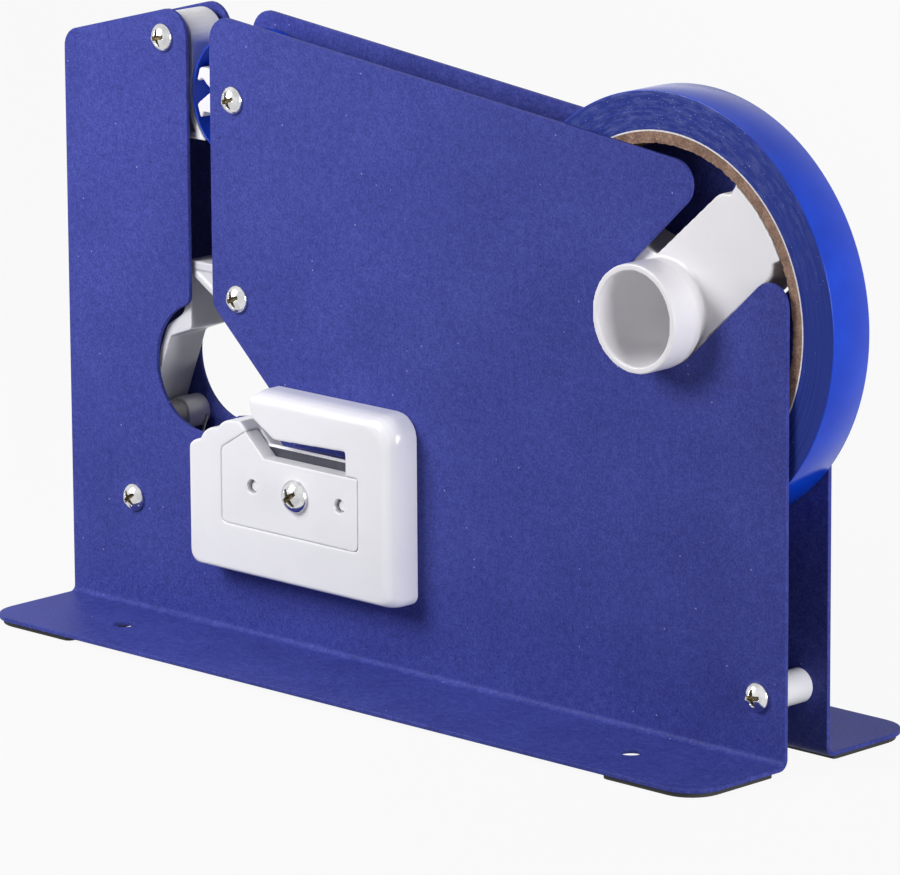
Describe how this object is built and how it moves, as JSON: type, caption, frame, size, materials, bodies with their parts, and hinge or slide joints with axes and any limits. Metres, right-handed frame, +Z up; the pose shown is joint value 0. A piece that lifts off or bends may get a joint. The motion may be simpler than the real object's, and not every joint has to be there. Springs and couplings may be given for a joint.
{
  "type": "bag neck sealer",
  "caption": "Bench sealer that tapes a twisted bag neck: two bent side plates, a lift-out tape roll, a toothed wheel, sprung guides and a side cutter.",
  "frame": {"origin": "bottom centre of the bounding box, on the table", "axes": "+X towards the tape roll, -Y towards the side with the cutter, +Z up"},
  "size_m": [0.245, 0.0754, 0.151],
  "materials": {
    "blue_plate": "satin powder coat with a fine grain",
    "black_pad": "matt",
    "white_plastic": "glossy moulded",
    "pale_plastic": "glossy moulded",
    "grey_plastic": "satin",
    "spring_steel": "drawn wire",
    "blade_steel": "dark face with a bright ground edge",
    "plated_screw": "bright plated",
    "core_board": "matt wound board",
    "blue_tape": "glossy film"
  },
  "bodies": {
    "frame": {"near_side_plate": "blue_plate", "far_side_plate": "blue_plate", "near_left_pad": "black_pad", "near_right_pad": "black_pad", "far_left_pad": "black_pad", "far_right_pad": "black_pad", "flap_pivot_tube": "white_plastic", "star_axle_tube": "white_plastic", "middle_spacer": "white_plastic", "front_spacer": "white_plastic", "rear_spacer": "white_plastic", "lever_stop_post": "white_plastic", "stop_sleeve": "grey_plastic", "guide_spring": "spring_steel", "lever_spring": "spring_steel", "tape_lead": "blue_tape", "cutter_housing": "white_plastic", "cutter_blade": "blade_steel", "blade_cover": "white_plastic", "cutter_screw": "plated_screw", "cutter_nut": "plated_screw", "near_frame_screws": "plated_screw", "far_frame_screws": "plated_screw"},
    "guide": {"entry_guide": "white_plastic"},
    "wheel": {"star_wheel": "white_plastic"},
    "lever": {"swing_lever": "pale_plastic"},
    "tape_path": {"tape_web": "blue_tape"},
    "roll": {"tape_hub": "white_plastic", "tape_core": "core_board", "tape_roll": "blue_tape"}
  },
  "joints": [
    {"name": "guide_swing", "type": "hinge", "parent": "frame", "child": "guide", "pos_m": [-0.0879, 0, 0.144], "axis": [0, 1, 0], "range_deg": [0, 14], "stiffness_Nm_per_rad": 0.03, "springref_deg": -28.65, "deforming": ["guide_spring"]},
    {"name": "wheel_spin", "type": "hinge", "parent": "frame", "child": "wheel", "pos_m": [-0.0642, 0, 0.1317], "axis": [0, 1, 0], "continuous": true},
    {"name": "lever_swing", "type": "hinge", "parent": "frame", "child": "lever", "pos_m": [-0.1004, 0, 0.0295], "axis": [0, 1, 0], "range_deg": [-12, 0], "stiffness_Nm_per_rad": 0.05, "springref_deg": 28.65, "deforming": ["lever_spring"]},
    {"name": "roll_lift", "type": "slide", "parent": "frame", "child": "tape_path", "axis": [0.7314, 0, 0.682], "range_m": [0, 0.06]},
    {"name": "roll_spin", "type": "hinge", "parent": "tape_path", "child": "roll", "pos_m": [0.0725, 0, 0.1002], "axis": [0, 1, 0], "continuous": true}
  ],
  "couplings": [
    {"joint": "wheel_spin", "follows": "roll_spin", "ratio": -3.32}
  ]
}
